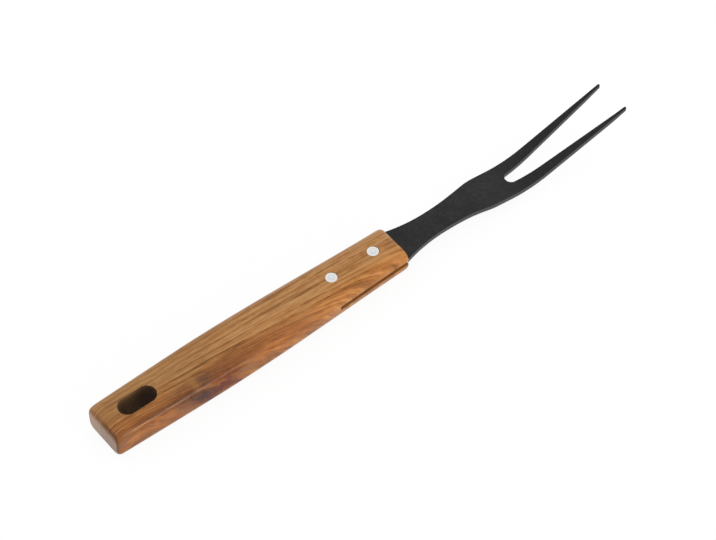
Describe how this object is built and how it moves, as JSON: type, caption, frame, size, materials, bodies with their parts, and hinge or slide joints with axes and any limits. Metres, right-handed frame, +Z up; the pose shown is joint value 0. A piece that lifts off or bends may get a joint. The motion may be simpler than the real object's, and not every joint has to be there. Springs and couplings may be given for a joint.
{
  "type": "barbecue fork",
  "caption": "Long-handled barbecue fork: a bent steel blade with diverging tines, its tang riveted into the sawn slot of a wooden handle with a hanging slot.",
  "frame": {"origin": "under the middle of the fork's length, on the plane of the handle's underside, where the fork lies on a table", "axes": "+X from the handle's butt to the tine tips, +Y to the left, +Z up, out of the handle's top face"},
  "size_m": [0.3794, 0.033, 0.0236],
  "materials": {
    "oiled_wood": "oiled hardwood with lengthwise grain, satin",
    "black_steel": "matt black, finely textured",
    "rivet_aluminium": "bright, satin"
  },
  "bodies": {
    "root": {"wooden_handle": "oiled_wood", "fork_blade": "black_steel", "rear_rivet_male": "rivet_aluminium", "rear_rivet_female": "rivet_aluminium", "front_rivet_male": "rivet_aluminium", "front_rivet_female": "rivet_aluminium"}
  },
  "joints": []
}
